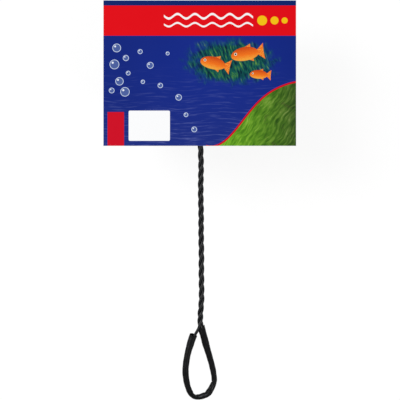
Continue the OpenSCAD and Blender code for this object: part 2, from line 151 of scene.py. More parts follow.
def smooth_line(path, rounds):
    """Rounds off the joint of two stretches, ends kept."""
    p = path.copy()
    for _ in range(rounds):
        p[1:-1] = (p[:-2] + 2 * p[1:-1] + p[2:]) / 4
    return p


def length_along(path):
    return np.concatenate([[0], np.cumsum(np.linalg.norm(np.diff(path, axis=0), axis=1))])


def points_at(at, run, line):
    """Points at the lengths at of a line whose own points lie at the lengths run."""
    return np.stack([np.interp(at, run, column) for column in line.T], -1)


def ring_angles(sides):
    return 2 * np.pi * (np.arange(sides) + 0.5) / sides


def tube_grid(path, across, rise, sides, up=(0.0, 0.0, 1.0), shape=0.0):
    """Rings of points round a path: across lies in the plane square to up."""
    d = directions(path)
    side = unit(np.cross(d, up))
    lift = np.cross(side, d)
    a = ring_angles(sides)
    wide = (np.reshape(across, (-1, 1)) + shape) * np.cos(a)
    high = (np.reshape(rise, (-1, 1)) + shape) * np.sin(a)
    return path[:, None] + wide[..., None] * side[:, None] + high[..., None] * lift[:, None]


def grid_faces(rows, cols, base=0, flip=False):
    """Quads between the rows of a grid whose columns close into a ring."""
    out = []
    for r in range(rows - 1):
        for c in range(cols):
            a, b = base + r * cols + c, base + r * cols + (c + 1) % cols
            q = (a, b, b + cols, a + cols)
            out.append(q[::-1] if flip else q)
    return out


def rod_faces(rows, sides, base=0, flip=False):
    """The faces of a tube's grid and of its two ends."""
    first = tuple(range(base, base + sides))
    last = tuple(i + (rows - 1) * sides for i in first)
    ends = [first, last[::-1]] if flip else [first[::-1], last]
    return grid_faces(rows, sides, base=base, flip=flip) + ends


def grid_uv(rows_at, cols_at):
    return np.stack(np.broadcast_arrays(rows_at[:, None], cols_at[None]), -1).reshape(-1, 2)


def rod(name, path, radius, sides, material, slot, node, **more):
    """A rod with closed ends on the net; its UVs run along and round it."""
    grid = tube_grid(path, radius, radius, sides, **more)
    ring = np.arange(sides) / sides * 2 * np.pi * float(np.mean(radius)) * MM
    return make(name, grid.reshape(-1, 3), rod_faces(len(path), sides), [material], "net", [node],
                uv=grid_uv(length_along(path) * MM, ring))


# Shader helpers
def plug(tree, value, sock):
    """Feeds a socket from a Val or another socket, or sets it to a number or a colour."""
    if isinstance(value, Val):
        tree.links.new(value.s, sock)
    elif isinstance(value, bpy.types.NodeSocket):
        tree.links.new(value, sock)
    elif isinstance(value, (int, float)):
        sock.default_value = value
    else:
        sock.default_value = (*value, 1)


def new_node(tree, kind, inputs, **settings):
    """A node of this kind with its settings, whose inputs are fed by place or by name."""
    node = tree.nodes.new("ShaderNode" + kind)
    for key, value in settings.items():
        setattr(node, key, value)
    for key, value in inputs.items():
        plug(tree, value, node.inputs[key])
    return node


def math_op(kind):
    """A method that makes a Math node of this kind."""
    def method(self, *more):
        inputs = dict(enumerate((self, *more)))
        return Val(self.t, new_node(self.t, "Math", inputs, operation=kind).outputs[0])
    return method


class Val:
    """A number in a node tree. Sums and products of these make Math nodes."""

    def __init__(self, tree, sock):
        self.t, self.s = tree, sock

    __add__ = __radd__ = math_op("ADD")
    __sub__ = math_op("SUBTRACT")
    __mul__ = __rmul__ = math_op("MULTIPLY")
    __truediv__ = math_op("DIVIDE")
    abs = math_op("ABSOLUTE")
    sin = math_op("SINE")
    cos = math_op("COSINE")
    sqrt = math_op("SQRT")
    pow = math_op("POWER")
    min = math_op("MINIMUM")
    max = math_op("MAXIMUM")

    def __rsub__(self, other):
        return self * -1 + other

    def step(self, lo, hi, a=0.0, b=1.0):
        """Smooth step from a, at lo, to b, at hi."""
        inputs = {"Value": self, "From Min": lo, "From Max": hi, "To Min": a, "To Max": b}
        node = new_node(self.t, "MapRange", inputs, interpolation_type="SMOOTHSTEP")
        return Val(self.t, node.outputs["Result"])

    def below(self, lo, hi):
        """1 up to lo and 0 from hi on."""
        return self.step(lo, hi, 1.0, 0.0)

    def under(self, edge, soft):
        """1 under the edge and 0 over it, with a soft border."""
        return self.below(edge - soft, edge + soft)

    def inside(self, lo, hi, soft):
        return self.step(lo - soft, lo + soft) * self.under(hi, soft)

    def spread(self, a, b):
        """A noise spread out between two values."""
        return self.step(0.3, 0.7, a, b)


class Paint:
    """A material's node tree with its Principled shader."""

    def __init__(self, name, **sockets):
        self.material = bpy.data.materials.new(name)
        self.material.use_nodes = True
        self.t = self.material.node_tree
        self.shader = self.t.nodes["Principled BSDF"]
        for key, value in sockets.items():
            self.shader.inputs[key.replace("_", " ")].default_value = value

    def coords(self, kind="Object"):
        return self.t.nodes.new("ShaderNodeTexCoord").outputs[kind]

    def uv(self, scale=1.0):
        """U and V as two numbers, in metres times scale."""
        outputs = new_node(self.t, "SeparateXYZ", {0: self.coords("UV")}).outputs
        u, v = (Val(self.t, sock) for sock in outputs[:2])
        return (u, v) if scale == 1.0 else (u * scale, v * scale)

    def noise(self, at, scale, detail=2.0, rough=0.5):
        inputs = {"Vector": at, "Scale": scale, "Detail": detail, "Roughness": rough}
        return Val(self.t, new_node(self.t, "TexNoise", inputs).outputs["Fac"])

    def flat_noise(self, x, y, detail=2.0, rough=0.5):
        """Noise in a plane, whose grain is about 1 wide in x and in y."""
        return self.noise(new_node(self.t, "CombineXYZ", {0: x, 1: y}).outputs[0], 1.0, detail, rough)

    def ramp(self, share, stops):
        node = new_node(self.t, "ValToRGB", {0: share})
        elements = node.color_ramp.elements
        while len(elements) < len(stops):
            elements.new(0.5)
        for element, (at, colour) in zip(elements, stops):
            element.position = at
            element.color = (*colour, 1)
        return node.outputs["Color"]

    def mix(self, share, a, b):
        """Colour a where share is 0 and b where it is 1."""
        return new_node(self.t, "Mix", {0: share, 6: a, 7: b}, data_type="RGBA").outputs[2]

    def finish(self, colour, roughness, height, depth, strength):
        """Joins colour, roughness and a bump of this depth to the shader, and returns the material."""
        bump = new_node(self.t, "Bump", {"Strength": strength, "Distance": depth, "Height": height})
        for key, value in (("Base Color", colour), ("Roughness", roughness), ("Normal", bump.outputs[0])):
            plug(self.t, value, self.shader.inputs[key])
        return self.material


# Materials
def wire_material():
    p = Paint("coated_wire", Specular_IOR_Level=0.26)
    at = p.coords()
    soft = p.noise(at, 160, 3)
    fine = p.noise(at, 1500)
    colour = p.ramp(soft, [(0.30, (0.0035, 0.0038, 0.0046)), (0.70, (0.0080, 0.0088, 0.0105))])
    return p.finish(colour, soft.spread(0.26, 0.36) + fine * 0.05, soft * 0.6 + fine * 0.25, 0.00012, 0.7)


# Painted highlights where the sleeve is bent flat, in mm along and round it:
# where a mark starts and ends, its middle, how that leans, and half its width
PAINTED_HIGHLIGHT_MARKS = [(74.5, 87.0, 4.9, -0.05, 0.8), (79.0, 86.0, 3.4, 0.02, 0.40),
                (87.2, 91.4, 4.2, 0.0, 0.8), (63.5, 69.5, 5.2, 0.1, 0.6)]
MARK_FADE = 1.8


def sleeve_material():
    p = Paint("grip_sleeve_vinyl", Specular_IOR_Level=0.13)
    u, v = p.uv()
    drawn = p.flat_noise(u * 60, v * 2200, 3)
    at = p.coords()
    soft = p.noise(at, 120, 3)
    fine = p.noise(at, 2200)
    base = p.ramp(drawn * 0.5 + soft * 0.5,
                  [(0.32, (0.0015, 0.0016, 0.0019)), (0.68, (0.0044, 0.0046, 0.0053))])
    U, V = p.uv(TO_MM)
    # Painted highlight: pale streaks along the flattened bottom, which stand in for light caught there
    highlight_share = 0.0
    for start, end, middle, lean, half in PAINTED_HIGHLIGHT_MARKS:
        band = (V - middle - (U - start) * lean).abs().below(0.2 * half, half)
        highlight_share = band * U.step(start, start + MARK_FADE) * U.below(end - MARK_FADE, end) + highlight_share
    patchy = p.flat_noise(U * 0.30, V * 0.55)
    # The pale grey is the painted highlight, laid over the base colour where the marks are
    colour = p.mix(highlight_share.min(1.0) * patchy.step(0.34, 0.62), base, (0.078, 0.081, 0.090))
    height = drawn * 0.5 + soft * 0.4 + fine * 0.15
    return p.finish(colour, soft.spread(0.30, 0.43) + drawn * 0.06, height, 0.00015, 0.7)


WARP, WEFT = 0.00055, 0.00060


def hem_material():
    p = Paint("hem_tape_weave", Specular_IOR_Level=0.25, Sheen_Weight=0.12, Sheen_Roughness=0.5)
    u, v = p.uv()
    weave = (u * (2 * math.pi / WARP)).sin() * (v * (2 * math.pi / WEFT)).sin() * 0.5 + 0.5
    slub = p.flat_noise(u * 500, v * 2600)
    cloud = p.noise(p.coords(), 90, 3)
    colour = p.ramp(weave * 0.4 + slub * 0.35 + cloud * 0.25,
                    [(0.25, (0.006, 0.0066, 0.0075)), (0.5, (0.0145, 0.0155, 0.017)),
                     (0.8, (0.030, 0.032, 0.034))])
    return p.finish(colour, cloud.spread(0.66, 0.80), weave * 0.7 + slub * 0.3, 0.00018, 0.8)


def yarn_material(name, sheen, cloud_noise, yarn_scale, yarn_share, stops, smoothest, strength):
    """Fine dark yarn: its tone comes from a broad noise and from its own plies."""
    p = Paint(name, Specular_IOR_Level=0.4, Sheen_Weight=sheen)
    at = p.coords()
    cloud = p.noise(at, *cloud_noise)
    yarn = p.noise(at, yarn_scale)
    colour = p.ramp(cloud * (1 - yarn_share) + yarn * yarn_share, stops)
    return p.finish(colour, yarn.spread(smoothest, 0.62), yarn, 0.00008, strength)


def steel_material():
    p = Paint("staple_steel", Metallic=1.0)
    at = p.coords()
    drawn = p.noise(at, 900, 3)
    colour = p.ramp(p.noise(at, 220), [(0.3, (0.48, 0.48, 0.49)), (0.7, (0.66, 0.66, 0.67))])
    return p.finish(colour, drawn.spread(0.24, 0.38), drawn, 0.00004, 0.5)


def board_material():
    p = Paint("card_board", Specular_IOR_Level=0.2)
    u, v = p.uv()
    fibre = p.flat_noise(u * 700, v * 2600, 4, 0.6)
    speck = p.flat_noise(u * 2400, v * 2400, 1)
    cloud = p.flat_noise(u * 45, v * 45, 3)
    base = p.ramp(fibre * 0.45 + cloud * 0.55, [(0.3, (0.52, 0.505, 0.465)), (0.7, (0.66, 0.645, 0.60))])
    colour = p.mix(speck.step(0.70, 0.76), base, (0.30, 0.28, 0.25))
    return p.finish(colour, fibre.spread(0.74, 0.88), fibre * 0.7 + cloud * 0.3, 0.00006, 0.6)


# The card's print, in mm from the lower left corner of its face
INK_EDGE = 0.12
FIELD_X, FIELD_W, FIELD_H = 112.0, 98.0, 72.0
FIELD_WAVE, FIELD_SWING = 0.085, 3.0
BAND_FOOT, BAND_TOP = 120.4, 153.4
# Middle, length and turn of each fish
FISH = [(122.0, 90.0, 33.0, -14), (157.0, 101.0, 36.0, 9), (171.0, 78.0, 23.0, -4)]
# Middle and radius of each bubble
BUBBLES = [(14.5, 107.0, 4.6), (24.5, 96.0, 3.2), (12.0, 89.0, 5.2), (27.0, 79.5, 2.4),
           (17.5, 70.5, 4.4), (9.0, 60.5, 3.0), (23.5, 59.0, 5.0), (40.0, 103.0, 2.6),
           (51.0, 88.0, 3.6), (43.0, 70.0, 2.2), (62.0, 66.0, 2.8), (70.0, 101.0, 2.0),
           (82.0, 53.0, 3.4), (90.0, 34.0, 2.4), (99.0, 18.0, 3.0)]


def hypot(a, b):
    return (a.pow(2) + b.pow(2)).sqrt()


class CardPrint(Paint):
    """The card's printed face, painted in layers."""

    def __init__(self):
        super().__init__("card_print", Specular_IOR_Level=0.05)
        self.U, self.V = self.uv(TO_MM)
        self.grain = self.flat_noise(self.U * 3.2, self.V * 3.2, 2, 0.6)
        self.cloud = self.flat_noise(self.U * 0.035, self.V * 0.035)

    def lay(self, share, colour):
        self.colour = self.mix(share, self.colour, colour)

    def away(self, cu, cv):
        """Distance from a point of the face."""
        return hypot(self.U - cu, self.V - cv)

    def disc(self, cu, cv, r):
        return self.away(cu, cv).under(r, INK_EDGE)

    def water(self):
        """Blue ground, a little lighter towards its middle, with faint painted highlight streaks near its
        foot.
        """
        U, V = self.U, self.V
        glow = (((U - 120).pow(2) * 0.6 + (V - 85).pow(2)).sqrt() / 105.0).below(0.1, 1.0)
        self.colour = (0.0048, 0.0178, 0.188)
        self.lay(glow * 0.75 + self.cloud * 0.2, (0.0070, 0.0235, 0.250))
        light_streak = self.flat_noise(U * 0.036, V * 0.50 + (U * 0.09).sin() * 0.5, 3, 0.6)
        foot = ((90.0 - V) / 90.0).max(0.0).min(1.0)
        # Painted highlight: pale streaks and a slight lightening towards the card's near edge
        self.lay(light_streak.step(0.50, 0.72) * foot * 0.46 + foot.pow(2) * 0.05, (0.16, 0.20, 0.50))

    def weed(self):
        """Soft patch of water weed."""
        U, V = self.U, self.V
        ragged = (self.flat_noise(U * 0.11, V * 0.11, 3) - 0.5) * 0.9
        reach = hypot((U - 139.0) / 50.0, (V - 92.0) / 25.0) + ragged
        bend = (self.flat_noise(U * 0.07, V * 0.05) - 0.5) * 9.0
        blades = self.flat_noise((U + bend + V * 0.35) * 0.42, V * 0.085, 4, 0.62)
        leaves = self.ramp(blades, [(0.34, (0.001, 0.010, 0.022)), (0.45, (0.002, 0.042, 0.062)),
                                    (0.55, (0.006, 0.105, 0.075)), (0.64, (0.055, 0.200, 0.045)),
                                    (0.76, (0.30, 0.42, 0.13))])
        self.lay(reach.below(0.62, 1.12), leaves)

    def field(self):
        """Green field under a red wave, bright on its left and dim on its right."""
        U, V = self.U, self.V
        t = ((U - FIELD_X) / FIELD_W).min(1.0).max(0.0)
        height = t * t * (3.0 - t * 2.0) * FIELD_H + (U * FIELD_WAVE).sin() * FIELD_SWING
        slope = t * (1.0 - t) * (6.0 * FIELD_H / FIELD_W)
        slope = slope + (U * FIELD_WAVE).cos() * (FIELD_WAVE * FIELD_SWING)
        over = (V - height) / (slope * slope + 1.0).sqrt()
        bend = (self.flat_noise(U * 0.05, V * 0.05) - 0.5) * 14.0
        turf = self.flat_noise((U - V * 0.7 + bend) * 0.34, (V + U * 0.7) * 0.055, 4, 0.6)
        lit = self.ramp(turf, [(0.30, (0.046, 0.185, 0.008)), (0.48, (0.130, 0.375, 0.014)),
                               (0.62, (0.240, 0.545, 0.030)), (0.78, (0.50, 0.73, 0.13))])
        dim = self.ramp(turf, [(0.30, (0.010, 0.023, 0.007)), (0.50, (0.030, 0.064, 0.013)),
                               (0.66, (0.080, 0.120, 0.034)), (0.80, (0.26, 0.29, 0.13))])
        shade = ((U - 125.0) / 85.0).min(1.0).max(0.0)
        bare = self.flat_noise(U * 0.10, V * 0.10, 3, 0.6).step(0.56, 0.70) * shade
        ground = self.mix(bare * 0.5, self.mix(shade * 0.92, lit, dim), (0.060, 0.045, 0.024))
        right = U.step(FIELD_X - 0.2, FIELD_X + 0.2)
        self.lay(over.under(0.0, INK_EDGE) * right, ground)
        self.lay((over - 0.3).abs().below(0.85, 1.10) * right, (0.62, 0.004, 0.014))

    def fish(self, cu, cv, size, turn):
        """A small fish; q runs from its head to its tail and r up, both as shares of its length."""
        c, s = math.cos(math.radians(turn)), math.sin(math.radians(turn))
        q = ((self.U - cu) * c + (self.V - cv) * s) / size
        r = ((self.V - cv) * c - (self.U - cu) * s) / size
        belly = r + (q * 2.2).pow(2) * 0.02
        girth = (1.0 - ((q + 0.08) / 0.42).pow(2)).max(0.0).sqrt() * 0.205
        body = (belly.abs() - girth).under(0.0, 0.008) * q.inside(-0.5, 0.34, 0.01)
        tail = (r.abs() - (q - 0.22) * 0.85).under(0.0, 0.01) * q.step(0.215, 0.225)
        tail = tail * (q + (r * 3.4).cos() * 0.06).below(0.545, 0.56)
        fin = (r - 0.12 - (q + 0.26) * 0.42).under(0.0, 0.01) * r.step(0.05, 0.07)
        fin = fin * q.inside(-0.22, 0.12, 0.01)
        low = ((r + 0.13 + (q + 0.10) * 0.5) * -1.0).under(0.0, 0.01) * r.below(-0.07, -0.05)
        low = low * q.inside(-0.05, 0.16, 0.01)
        scales = self.flat_noise(q * 26.0, r * 26.0)
        skin = self.ramp(r * 1.6 + 0.5 + (scales - 0.5) * 0.35,
                         [(0.15, (0.90, 0.42, 0.05)), (0.45, (0.86, 0.17, 0.012)),
                          (0.85, (0.55, 0.045, 0.006))])
        fins = self.mix(scales.step(0.35, 0.65), (0.80, 0.10, 0.012), (0.92, 0.34, 0.04))
        self.lay(tail.max(fin).max(low), fins)
        self.lay(body, skin)
        eye = hypot(q + 0.36, r - 0.03)
        self.lay(eye.below(0.040, 0.048), (0.85, 0.80, 0.66))
        self.lay(eye.below(0.024, 0.030), (0.006, 0.006, 0.006))

    def bubble(self, cu, cv, r):
        """A faint disc with a bright rim and a glint at its upper left."""
        self.lay(self.disc(cu, cv, r) * 0.22, (0.30, 0.45, 0.80))
        self.lay((self.away(cu, cv) - (r - 0.25)).abs().under(0.30, 0.10) * 0.85, (0.72, 0.82, 0.95))
        self.lay(self.disc(cu - 0.36 * r, cv + 0.36 * r, 0.22 * r) * 0.9, (0.90, 0.94, 1.0))

    def tab_and_panel(self):
        """Bare red tab and bare pale panel with round corners."""
        U, V = self.U, self.V
        self.lay(U.inside(4.5, 22.5, INK_EDGE) * V.under(37.0, 0.1), (0.60, 0.0035, 0.018))
        edge = ((U - 50.0).abs() - 21.0).max(0.0).pow(2) + ((V - 22.0).abs() - 15.0).max(0.0).pow(2)
        self.lay(edge.sqrt().under(1.5, 0.1), (0.950, 0.955, 0.965))

    def band(self):
        """Red band with plain waves and discs, and the navy strip above it."""
        U, V = self.U, self.V
        self.lay(V.inside(BAND_FOOT, BAND_TOP, INK_EDGE), (0.735, 0.0022, 0.0075))
        for rise, gain in ((141.6, 1.0), (132.4, 0.8)):
            crest = V - rise - (U * (2 * math.pi / 19.0)).sin() * 2.5 * gain
            line = crest.abs().below(1.15 * gain, 1.35 * gain)
            self.lay(line * U.inside(66.0, 163.0, 0.4), (0.90, 0.90, 0.90))
        for cu, r in ((173.0, 5.4), (186.5, 4.4), (197.5, 3.4)):
            self.lay(self.disc(cu, 137.0, r), (0.88, 0.52, 0.006))
        self.lay(V.step(BAND_TOP - 0.1, BAND_TOP + 0.1), (0.0035, 0.0175, 0.136))

    def wear(self):
        """White stock shows at the cut edges, and the ink is a little grainy."""
        rub = self.U.min(CARD_W - self.U).min(self.V).below(0.10, 0.42) * self.grain.step(0.40, 0.62)
        self.lay(rub * 0.45, (0.70, 0.70, 0.70))
        self.lay(self.grain.step(0.45, 0.75) * 0.10, (0.0, 0.0, 0.0))


def print_material():
    p = CardPrint()
    p.water()
    p.weed()
    p.field()
    for each in FISH:
        p.fish(*each)
    for each in BUBBLES:
        p.bubble(*each)
    p.tab_and_panel()
    p.band()
    p.wear()
    roughness = p.cloud.spread(0.34, 0.42) + p.grain * 0.06
    return p.finish(p.colour, roughness, p.grain * 0.25 + p.cloud * 3.0, 0.00006, 0.5)


wire_mat = wire_material()
sleeve_mat = sleeve_material()
hem_mat = hem_material()
net_mat = yarn_material("net_nylon", 0.1, (45, 3), 2600, 0.55,
                        [(0.3, (0.0065, 0.0085, 0.0085)), (0.7, (0.020, 0.024, 0.0235))], 0.42, 0.6)
thread_mat = yarn_material("sewing_thread", 0.2, (130, 2), 3200, 0.6,
                           [(0.3, (0.010, 0.0105, 0.012)), (0.7, (0.035, 0.036, 0.039))], 0.45, 0.7)
steel_mat = steel_material()
board_mat = board_material()
print_mat = print_material()


# Grip loop: places along it as shares of its width and length, and the sleeve's fullness there
LOOP_SHARES = [
    (0.038, 0.983), (0.103, 0.893), (0.161, 0.804), (0.215, 0.719), (0.327, 0.565),
    (0.432, 0.402), (0.484, 0.272), (0.477, 0.200), (0.381, 0.109), (0.261, 0.038),
    (0.059, -0.001), (-0.081, -0.012), (-0.210, -0.005), (-0.339, 0.045),
    (-0.430, 0.129), (-0.493, 0.244), (-0.518, 0.370), (-0.486, 0.507),
    (-0.427, 0.634), (-0.364, 0.726), (-0.304, 0.810), (-0.245, 0.888)]
WIDTHS = [1.14, 1.13, 1.13, 1.06, 0.96, 0.92, 0.86, 0.85, 0.98, 1.00, 0.92,
          0.83, 0.78, 0.89, 0.90, 0.98, 1.00, 1.00, 1.00, 1.08, 1.14, 1.17]
HEIGHTS = [1.14, 1.13, 1.13, 1.06, 1.04, 1.06, 1.12, 1.13, 1.03, 1.01, 1.06,
           1.14, 1.18, 1.10, 1.09, 1.02, 1.00, 1.00, 1.00, 0.94, 0.90, 0.88]
LOWEST = 11
LOW_Y = -SLEEVE_D * WIDTHS[LOWEST] / 2
KNOTS = np.array([(s * LOOP_W, LOW_Y + (LOOP_L - LOW_Y) * t, 0) for s, t in LOOP_SHARES])
# The sleeve's mouth stands a little nearer to the wires
KNOTS[-1, 0] += 0.35
PER = 14
loop_path = catmull(KNOTS, PER)
rings = len(loop_path)
knot_at = np.arange(rings) / PER


def share_at(shares):
    """The shares given at the knots, eased from each knot to the next, at each ring of the loop."""
    k = np.minimum(len(shares) - 2, np.floor(knot_at)).astype(int)
    s = np.asarray(shares)
    return s[k] + (s[k + 1] - s[k]) * ease(knot_at - k)


sleeve_across = share_at(WIDTHS) * SLEEVE_D / 2
sleeve_rise = share_at(HEIGHTS) * SLEEVE_D / 2
loop_dir = directions(loop_path)
inward = np.cross(loop_dir, [0, 0, 1.0])
BORE_GAP = 0.3
wire_mid = loop_path + (sleeve_across - SLEEVE_WALL - WIRE_R - BORE_GAP)[:, None] * inward
mouth = wire_mid[-1]

# Shaft. Twisted by hand, its lay is a little uneven: how far it runs ahead at places along it
UNEVEN_Y = [76, 89, 106, 118, 142, 167, 180, 200, 232, 253, 266.5, 270.5]
UNEVEN = [0, 3.1, 3.7, 3.6, 2.4, 1.0, 0.8, 1.2, 1.2, 2.3, 1.6, 0]
# and it is a little bent, as in the photograph
BOW = catmull(np.array([(80, 0), (88, 0.20), (97, 0.95), (108, 1.42), (134, 1.15), (150, 1.25), (170, 0.92),
                        (198, 0.85), (216, 0.52), (230, 0.52), (248, 0.85), (266, 0.35), (270.5, 0.0)]), 6)
# The bare wire leaves the sleeve's mouth towards this point, and the twist begins over this length
AIM = np.array([-WIRE_R / 4, LOOP_L + WIRE_R, 1.5 * WIRE_R])
EASE_L = 2.5 * WIRE_D
EASE_Y = LOOP_L + EASE_L / 2
PART_L = 1.5 * WIRE_D
PAIR_R = WIRE_R + 0.12
# Where the returning wire and the two frame wires end up, as x and z
PART = {0: (0, LAY_R), 1: (-PART_X, -0.5 * WIRE_R), 2: (PART_X, -0.5 * WIRE_R)}


def lay_point(k, y):
    """Place of strand k in the twist."""
    ahead = np.interp(y, UNEVEN_Y, UNEVEN)
    a = np.radians(LAY_START + 120 * k - LAY_TURN * (y + ahead - LOOP_L) / SHAFT_L)
    return np.stack([SHOWN_LAY * np.cos(a), y, SHOWN_LAY * np.sin(a)], -1)


def bare_point(y):
    """Place of the bare wire between the sleeve's mouth and the twist."""
    t = ((y - mouth[1]) / (AIM[1] - mouth[1]))[:, None]
    return mouth + (AIM - mouth) * t + np.array([0.22, 0, 0]) * np.sin(np.pi * np.clip(t, 0, 1))


def pair_point(k, y):
    """Place of one of the two wires that lie side by side in the sleeve's right end."""
    a = np.radians(LAY_START - 90 - LAY_TURN * (y - LOOP_L) / SHAFT_L + 180 * (k - 2))
    right = loop_path[:5 * PER]
    x = np.interp(-y, -right[:, 1], right[:, 0])
    top = right[0]
    step = right[0] - right[1]
    x = np.where(y > top[1], top[0] + (y - top[1]) / step[1] * step[0], x)
    return np.stack([x + PAIR_R * np.cos(a), y, PAIR_R * np.sin(a)], -1)


def strand(k, y):
    """Middle line of strand k from the sleeve, through the twist, to where the wires part."""
    lay = lay_point(k, y)
    goal = bare_point(y) if k == 0 else pair_point(k, y)
    t = ease((EASE_Y - y) / EASE_L)[:, None]
    low = lay * (1 - t) + goal * t
    t = ease((y - SHAFT_END + PART_L) / PART_L)[:, None]
    part = np.stack([np.full_like(y, PART[k][0]), y, np.full_like(y, PART[k][1])], -1)
    high = lay * (1 - t) + part * t
    out = np.where((y < EASE_Y)[:, None], low, high)
    out[:, 0] += np.interp(y, BOW[:, 0], BOW[:, 1])
    return out


def frame_bend(k, side):
    """Quarter turn of strand k from the shaft into the frame."""
    t = np.linspace(0, 1, 13)[1:]
    a = t * np.pi / 2
    x, z = PART[k]
    return np.stack([x + side * BEND_R * (1 - np.cos(a)), SHAFT_END + BEND_R * np.sin(a),
                     z * (1 - ease(t))], -1)


def frame_path():
    """The frame wire's middle line, from the left bend round to the right one."""
    x, y, r = AXIS_HW - CORNER_R, AXIS_HL - CORNER_R, CORNER_R
    lead = BEND_R + PART_X
    pts = [(-lead, -AXIS_HL)]
    for cx, cy, start in ((-x, -y, 270), (-x, y, 180), (x, y, 90), (x, -y, 0)):
        for a in np.radians(np.linspace(start, start - 90, 17)):
            pts.append((cx + r * math.cos(a), cy + r * math.sin(a)))
    pts = np.array(pts + [(lead, -AXIS_HL)])
    dense = [pts[0]]
    for a, b in zip(pts, pts[1:]):
        n = max(1, int(math.dist(a, b) / 4))
        dense += [a + (b - a) * i / n for i in range(1, n + 1)]
    return np.column_stack([np.array(dense) + [0, MID_Y], np.zeros(len(dense))])


def wire(name, path, node, fuller=0.0):
    """A rod along the path; fuller is added where it runs bare to the sleeve's mouth."""
    r = SHOWN_R + fuller * ease((LOOP_L - 0.5 - path[:, 1]) / 3)
    # They spread a little where they part above the sleeve
    r = r + 0.22 * np.exp(-((path[:, 1] - 74.3) / 2.6) ** 2)
    return rod(name, path, r, 18, wire_mat, "wire", node)


ys = np.linspace(LOW_Y + (LOOP_L - LOW_Y) * 0.835, SHAFT_END, 300)
left_path = np.vstack([strand(1, ys), frame_bend(1, -1)])
right_path = np.vstack([strand(2, ys), frame_bend(2, 1)])
ys = np.linspace(mouth[1] + WIRE_D, SHAFT_END + 0.45 * BEND_R, 290)
# It starts inside the sleeve, along the end of the loop wire
return_path = np.vstack([wire_mid[-10:], strand(0, ys)])
loop_wire = np.vstack([right_path[:1], wire_mid[3 * PER:]])

wire("wire_shaft_left", left_path, "shaft_strand_left")
wire("wire_shaft_right", right_path, "shaft_strand_right")
wire("wire_grip_loop", catmull(smooth_line(loop_wire[::3], 1), 3), "loop_wire")
wire("wire_shaft_return", smooth_line(return_path, 3), "shaft_strand_return", 0.17)
wire("wire_frame", frame_path(), "frame_wire")


# Grip sleeve
# Its folds: knot, depth (a ridge where it is below 0), width in knots, place round the sleeve
# (0 faces the loop's middle, pi / 2 is on top), spread round it, and skew
SLEEVE_FOLDS = [
    # Kink where the right side turns under, and the folds that it throws over the top
    (6.92, 0.50, 0.13, 0.0, 0.70, 0.08), (6.62, -0.16, 0.15, 0.0, 0.7, 0.0),
    (7.35, -0.10, 0.20, 0.2, 0.8, 0.0), (7.25, 0.26, 0.12, 1.1, 0.6, 0.30),
    (7.85, 0.24, 0.14, 1.6, 0.7, -0.20), (8.15, -0.18, 0.20, 1.2, 0.7, 0.2),
    (8.68, -0.36, 0.26, 0.0, 0.6, 0.0), (8.75, 0.26, 0.12, 1.3, 0.6, 0.15),
    (9.32, 0.40, 0.18, 0.0, 0.6, 0.1),
    # Folds across the flattened bottom, and a step on its inside
    (9.75, 0.22, 0.13, 1.0, 0.6, 0.30), (10.6, 0.22, 0.16, 1.5, 0.8, 0.45),
    (11.55, 0.26, 0.13, 1.0, 0.6, -0.2), (11.70, 0.32, 0.30, 0.0, 0.5, 0.0),
    (12.42, 0.95, 0.26, 0.0, 0.55, 0.0), (12.1, -0.20, 0.16, 1.1, 0.6, 0.0),
    (13.3, 0.18, 0.18, 1.4, 0.7, -0.3), (13.7, -0.12, 0.2, 0.4, 0.7, 0.0)]
SLEEVE_SIDES = 56
# The sleeve reads a little thinner than it is against a bright ground
SLEEVE_FULLER = 0.27


def sleeve_dent(a):
    """How far the sleeve stands out or in, at each ring and angle."""
    k = knot_at[:, None]
    dent = np.full((rings, len(a)), SLEEVE_FULLER)
    for at, depth, width, where, spread, skew in SLEEVE_FOLDS:
        away = np.angle(np.exp(1j * (a - where)))
        dent -= depth * np.exp(-((k - at - skew * away) / width) ** 2) * np.exp(-(away / spread) ** 2)
    # Folds along the flattened bottom
    along = ease((k - 8.2) / 0.9) * ease((12.9 - k) / 0.9)
    turned = a + 0.22 * (k - 10.5)
    dent += along * 0.22 * np.exp(-((turned - 1.25) / 0.30) ** 2)
    dent -= along * 0.32 * np.exp(-((turned - 1.95) / 0.26) ** 2)
    # The two wires under the stretched right end, and light unevenness everywhere
    dent += ease((4.2 - k) / 2.0) * 0.14 * np.cos(2 * a - k * 2.4)
    dent += 0.05 * np.sin(k * 5.3 + 2 * a) + 0.035 * np.sin(k * 9.1 - 3 * a + 1.3)
    # Cut ends: the left mouth gapes, the right one stands off a little
    dent += 0.16 * ease((k - 20.55) / 0.45) + 0.12 * ease((0.30 - k) / 0.3)
    # It swells towards its open mouth
    return dent + 0.22 * np.exp(-((k - 19.4) / 1.3) ** 2) * np.abs(np.cos(a))


def grip_sleeve():
    sides = SLEEVE_SIDES
    a = ring_angles(sides)
    dent = sleeve_dent(a)
    # The right end is cut at a slant, clear of the returning wire, and the left mouth looks up a little
    cut = ease(1 - knot_at)[:, None] * math.tan(math.radians(30)) * (np.cos(a) - 0.32 * np.cos(a) ** 2)
    look_up = ease(knot_at - 20)[:, None] * 0.42 * (np.sin(a) * sleeve_rise[:, None] + 1.1)
    skins = []
    for wall in (0.0, SLEEVE_WALL):
        wide = sleeve_across - wall
        skin = tube_grid(loop_path, wide, sleeve_rise - wall, sides, shape=dent)
        skins.append(skin + (cut * wide[:, None] - look_up)[..., None] * loop_dir[:, None])
    # The outer face, the inner one back again, and a rounded lip at each end
    outer, inner = skins
    lips = [(outer[[row]] + inner[[row]]) / 2 + out * loop_dir[row] * 0.16 for row, out in ((0, -1), (-1, 1))]
    grid = np.vstack([lips[0], outer, lips[1], inner[::-1]])
    count = len(grid) * sides
    faces = [tuple(i % count for i in face) for face in grid_faces(len(grid) + 1, sides)]
    run = length_along(loop_path) * MM
    ring = np.arange(sides) / sides * math.pi * SLEEVE_D * MM
    uv = grid_uv(np.concatenate([run[:1], run, run[-1:], run[::-1]]), ring)
    return make("grip_sleeve_soft", grid.reshape(-1, 3), faces, [sleeve_mat], "net",
                ["grip_sleeve"], uv=uv)


grip_sleeve()


